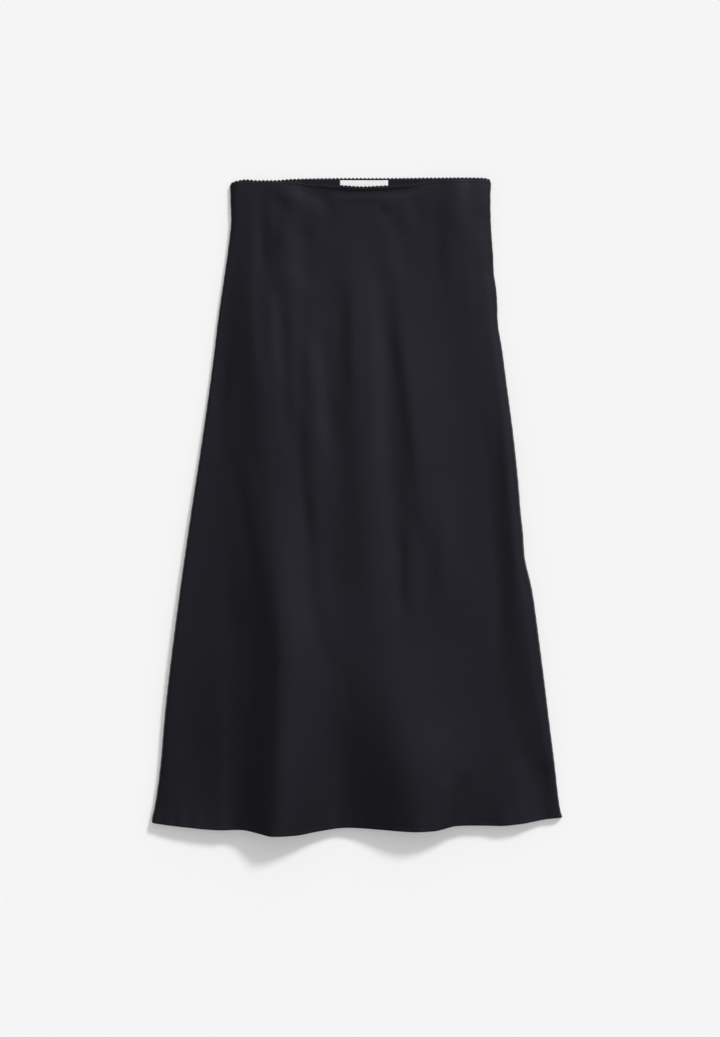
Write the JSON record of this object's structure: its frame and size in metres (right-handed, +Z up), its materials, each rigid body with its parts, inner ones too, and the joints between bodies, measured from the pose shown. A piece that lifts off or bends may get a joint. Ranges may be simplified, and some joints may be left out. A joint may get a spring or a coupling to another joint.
{
  "type": "slip skirt laid flat",
  "caption": "Bias-cut midi slip skirt in satin, laid flat, with an elastic waist and a fluted hem.",
  "frame": {"origin": "middle of the bounding box, on the surface that the skirt lies on", "axes": "+Y from the hem to the waist, +X to the wearer's left side (the right side of the picture), +Z up off the surface"},
  "size_m": [0.4915, 0.7855, 0.0283],
  "materials": {
    "satin": "matt satin, black with a trace of navy",
    "elastic": "black knitted elastic with a picot edge",
    "label": "white woven label, bare"
  },
  "bodies": {
    "root": {"front_panel": "satin", "back_panel": "satin", "waist_elastic": "elastic", "waist_label": "label"}
  },
  "joints": []
}
